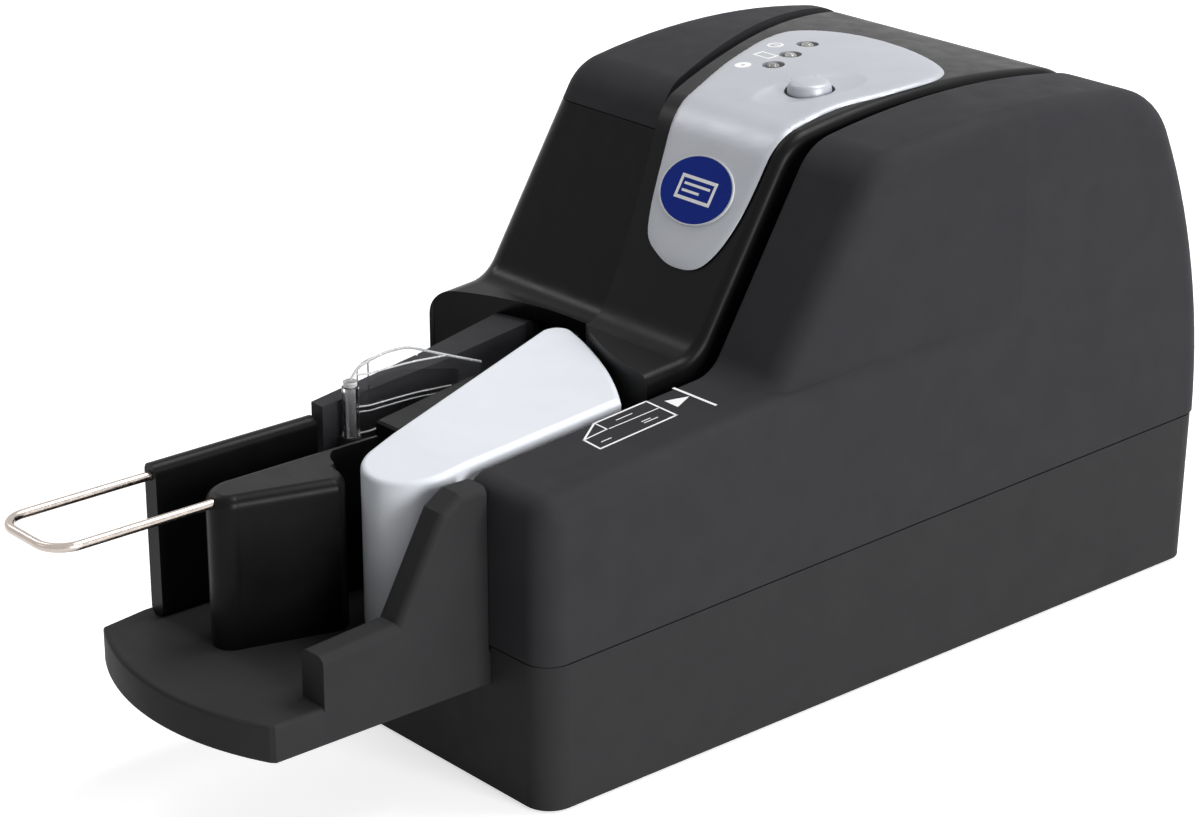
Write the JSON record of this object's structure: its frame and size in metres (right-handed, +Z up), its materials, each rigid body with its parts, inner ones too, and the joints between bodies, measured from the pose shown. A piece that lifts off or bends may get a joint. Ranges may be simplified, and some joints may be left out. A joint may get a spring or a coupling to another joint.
{
  "type": "cheque scanner",
  "caption": "Desktop cheque scanner with swing-open track covers, a sprung document hopper, an exit pocket with wire extension and a top panel with power button.",
  "frame": {"origin": "bottom centre of the whole object at rest, wire loop included, on the plane it stands on", "axes": "+Z up, +Y from the document pockets at the front to the back of the body, +X to the right-hand cover"},
  "size_m": [0.13, 0.3338, 0.1475],
  "materials": {
    "cover_plastic": "charcoal, fine moulded texture",
    "base_plastic": "charcoal, fine moulded texture",
    "gloss_black": "polished black",
    "satin_black": "satin black",
    "silver_panel": "satin silver",
    "badge_blue": "gloss blue",
    "pusher_white": "satin pale",
    "clear_plastic": "clear moulded plastic",
    "lens_clear": "clear lens",
    "wire_steel": "bright drawn wire",
    "steel": "turned",
    "zinc_steel": "zinc plated",
    "brass": "turned",
    "tyre_rubber": "ground rubber",
    "idler_rubber": "grey rubber",
    "belt_rubber": "fabric backed",
    "foot_rubber": "matte",
    "pulley_plastic": "natural acetal",
    "track_plastic": "smooth black",
    "motor_case": "dark painted can",
    "board_green": "solder mask",
    "sensor_black": "smooth",
    "head_metal": "machined",
    "ink_plastic": "glossy",
    "socket_metal": "plated shell"
  },
  "bodies": {
    "chassis": {"badge_disc": "badge_blue", "base_pan": "base_plastic", "board_screws": "zinc_steel", "button_switch": "board_green", "centre_housing": "satin_black", "control_panel": "silver_panel", "deck_screws": "zinc_steel", "divider_block": "satin_black", "divider_post": "satin_black", "drive_belt": "belt_rubber", "drive_motor": "motor_case", "front_image_sensor": "sensor_black", "front_tray": "base_plastic", "hinge_brackets": "zinc_steel", "hinge_pins": "steel", "hopper_wall": "track_plastic", "idler_pins": "steel", "ink_cartridge": "ink_plastic", "inner_guide": "track_plastic", "magnetic_head": "head_metal", "main_board": "board_green", "outer_guide": "track_plastic", "pocket_side_wall": "satin_black", "power_socket": "satin_black", "pusher_pin": "steel", "rear_image_sensor": "sensor_black", "rubber_feet": "foot_rubber", "shaft_bushes": "brass", "status_lenses": "lens_clear", "transport_deck": "track_plastic", "usb_socket": "socket_metal"},
    "right_cover": {"right_cover": "cover_plastic"},
    "left_cover": {"left_cover": "cover_plastic", "left_front_panel": "gloss_black", "flap_pin": "clear_plastic"},
    "exit_flap": {"exit_flap": "clear_plastic"},
    "pusher": {"hopper_pusher": "pusher_white"},
    "wire_extension": {"wire_extension": "wire_steel"},
    "power_button": {"power_button": "silver_panel"},
    "motor": {"motor_shaft": "steel", "motor_pulley": "pulley_plastic"},
    "separation_roller": {"separation_roller": "idler_rubber"},
    "run_pinch_roller": {"run_pinch_roller": "idler_rubber"},
    "exit_pinch_roller": {"exit_pinch_roller": "idler_rubber"},
    "pick_roller": {"pick_shaft": "steel", "pick_tyres": "tyre_rubber", "pick_pulley": "pulley_plastic"},
    "feed_roller": {"feed_shaft": "steel", "feed_tyres": "tyre_rubber", "feed_pulley": "pulley_plastic"},
    "run_roller": {"run_shaft": "steel", "run_tyres": "tyre_rubber", "run_pulley": "pulley_plastic"},
    "rear_roller": {"rear_shaft": "steel", "rear_tyres": "tyre_rubber", "rear_pulley": "pulley_plastic"},
    "exit_roller": {"exit_shaft": "steel", "exit_tyres": "tyre_rubber", "exit_pulley": "pulley_plastic"}
  },
  "joints": [
    {"name": "right_cover_hinge", "type": "hinge", "parent": "chassis", "child": "right_cover", "pos_m": [0.041, 0.16085, 0.058], "axis": [0, 0, 1], "range_deg": [0, 70]},
    {"name": "left_cover_hinge", "type": "hinge", "parent": "chassis", "child": "left_cover", "pos_m": [-0.06, 0.16085, 0.058], "axis": [0, 0, -1], "range_deg": [0, 60]},
    {"name": "pusher_hinge", "type": "hinge", "parent": "chassis", "child": "pusher", "pos_m": [-0.002, -0.01265, 0.055], "axis": [0, 0, -1], "range_deg": [0, 3.5], "stiffness_Nm_per_rad": 0.15, "springref_deg": -8.59},
    {"name": "exit_flap_hinge", "type": "hinge", "parent": "left_cover", "child": "exit_flap", "pos_m": [-0.0182, -0.06665, 0.08], "axis": [0, 0, -1], "range_deg": [-4, 0], "stiffness_Nm_per_rad": 0.004, "springref_deg": 5.73},
    {"name": "wire_slide", "type": "slide", "parent": "chassis", "child": "wire_extension", "axis": [0, 1, 0], "range_m": [0, 0.022]},
    {"name": "power_button_press", "type": "slide", "parent": "chassis", "child": "power_button", "axis": [0, 0, -1], "range_m": [0, 0.0015], "stiffness_N_per_m": 500, "springref_m": -0.001},
    {"name": "pick_spin", "type": "hinge", "parent": "chassis", "child": "pick_roller", "pos_m": [0.0453, -0.03065, 0.055], "axis": [0, 0, -1], "continuous": true},
    {"name": "feed_spin", "type": "hinge", "parent": "chassis", "child": "feed_roller", "pos_m": [0.0453, 0.00135, 0.055], "axis": [0, 0, -1], "continuous": true},
    {"name": "run_spin", "type": "hinge", "parent": "chassis", "child": "run_roller", "pos_m": [0.0453, 0.04235, 0.055], "axis": [0, 0, -1], "continuous": true},
    {"name": "rear_spin", "type": "hinge", "parent": "chassis", "child": "rear_roller", "pos_m": [-0.003, 0.14165, 0.055], "axis": [0, 0, -1], "continuous": true},
    {"name": "exit_spin", "type": "hinge", "parent": "chassis", "child": "exit_roller", "pos_m": [-0.04042, 0.02742, 0.055], "axis": [0, 0, -1], "continuous": true},
    {"name": "motor_spin", "type": "hinge", "parent": "chassis", "child": "motor", "pos_m": [-0.039, 0.11735, 0.055], "axis": [0, 0, -1], "continuous": true},
    {"name": "separation_spin", "type": "hinge", "parent": "chassis", "child": "separation_roller", "pos_m": [0.0251, 0.00135, 0.055], "axis": [0, 0, -1], "continuous": true},
    {"name": "run_pinch_spin", "type": "hinge", "parent": "chassis", "child": "run_pinch_roller", "pos_m": [0.0281, 0.04235, 0.055], "axis": [0, 0, -1], "continuous": true},
    {"name": "exit_pinch_spin", "type": "hinge", "parent": "chassis", "child": "exit_pinch_roller", "pos_m": [-0.02348, 0.03041, 0.055], "axis": [0, 0, -1], "continuous": true}
  ],
  "couplings": [
    {"joint": "pick_spin", "follows": "feed_spin", "ratio": 1},
    {"joint": "run_spin", "follows": "feed_spin", "ratio": 1},
    {"joint": "rear_spin", "follows": "feed_spin", "ratio": 1},
    {"joint": "exit_spin", "follows": "feed_spin", "ratio": 1},
    {"joint": "motor_spin", "follows": "feed_spin", "ratio": 1},
    {"joint": "separation_spin", "follows": "feed_spin", "ratio": -1.2222},
    {"joint": "run_pinch_spin", "follows": "feed_spin", "ratio": -1.8333},
    {"joint": "exit_pinch_spin", "follows": "feed_spin", "ratio": -1.8333}
  ]
}
